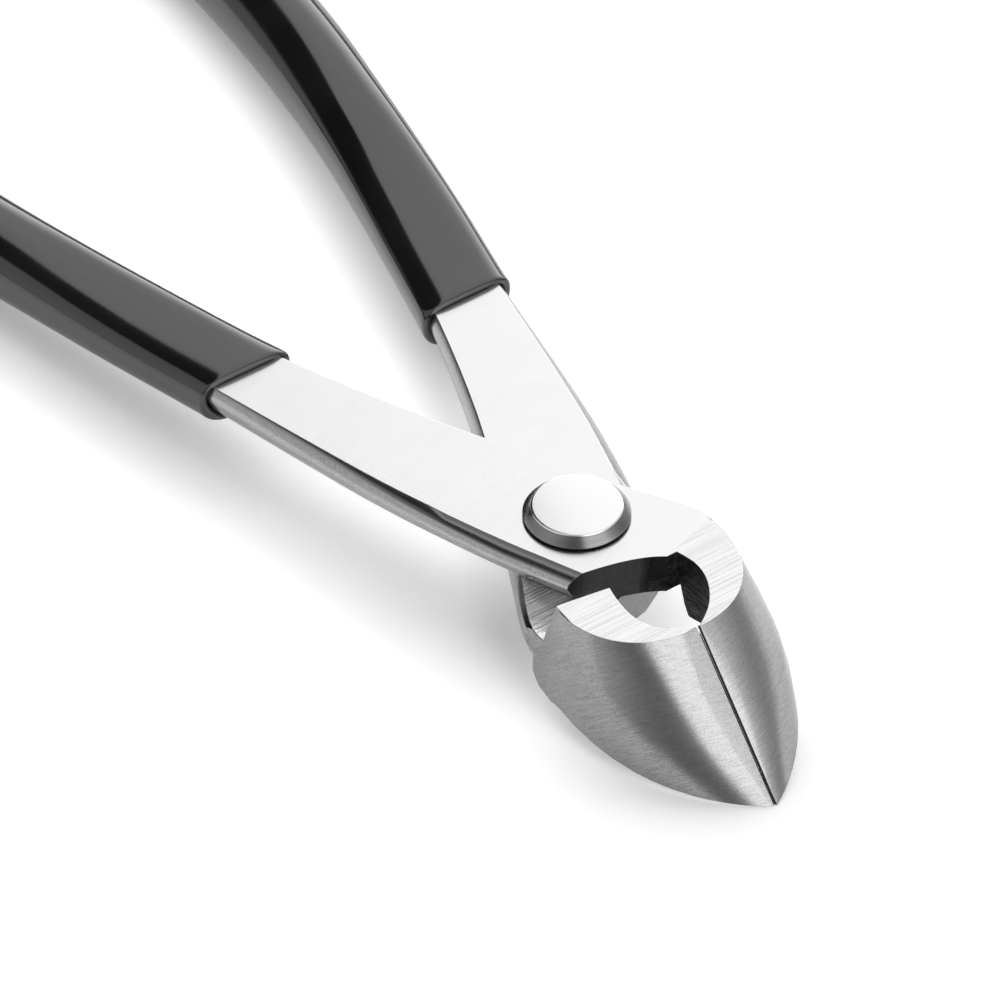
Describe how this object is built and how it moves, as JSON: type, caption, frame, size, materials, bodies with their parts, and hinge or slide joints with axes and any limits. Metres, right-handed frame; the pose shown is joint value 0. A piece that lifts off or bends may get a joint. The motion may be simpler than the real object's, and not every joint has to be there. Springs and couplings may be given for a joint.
{
  "type": "bonsai branch cutter",
  "caption": "Hand cutter: crossed steel levers on one rivet, a blunt angled head of curved jaws with meeting edges, and black dipped grips.",
  "frame": {"origin": "centre of the rivet head's flat face, on the pivot axis", "axes": "+Z along the pivot, out of the rivet head; +X from the pivot towards the jaws, in the plane where the cutting edges meet"},
  "size_m": [0.2046, 0.0764, 0.021],
  "materials": {
    "ground_steel": "satin ground",
    "rivet_steel": "turned and polished",
    "black_vinyl": "smooth dipped vinyl"
  },
  "bodies": {
    "upper_half": {"upper_jaw_lever": "ground_steel", "pivot_rivet": "rivet_steel", "tail_washer": "rivet_steel", "upper_grip": "black_vinyl"},
    "lower_half": {"lower_jaw_lever": "ground_steel", "lower_grip": "black_vinyl"}
  },
  "joints": [
    {"name": "pivot", "type": "hinge", "parent": "upper_half", "child": "lower_half", "pos_m": [0, 0, -0.0074], "axis": [0, 0, -1], "range_deg": [0, 35]}
  ]
}
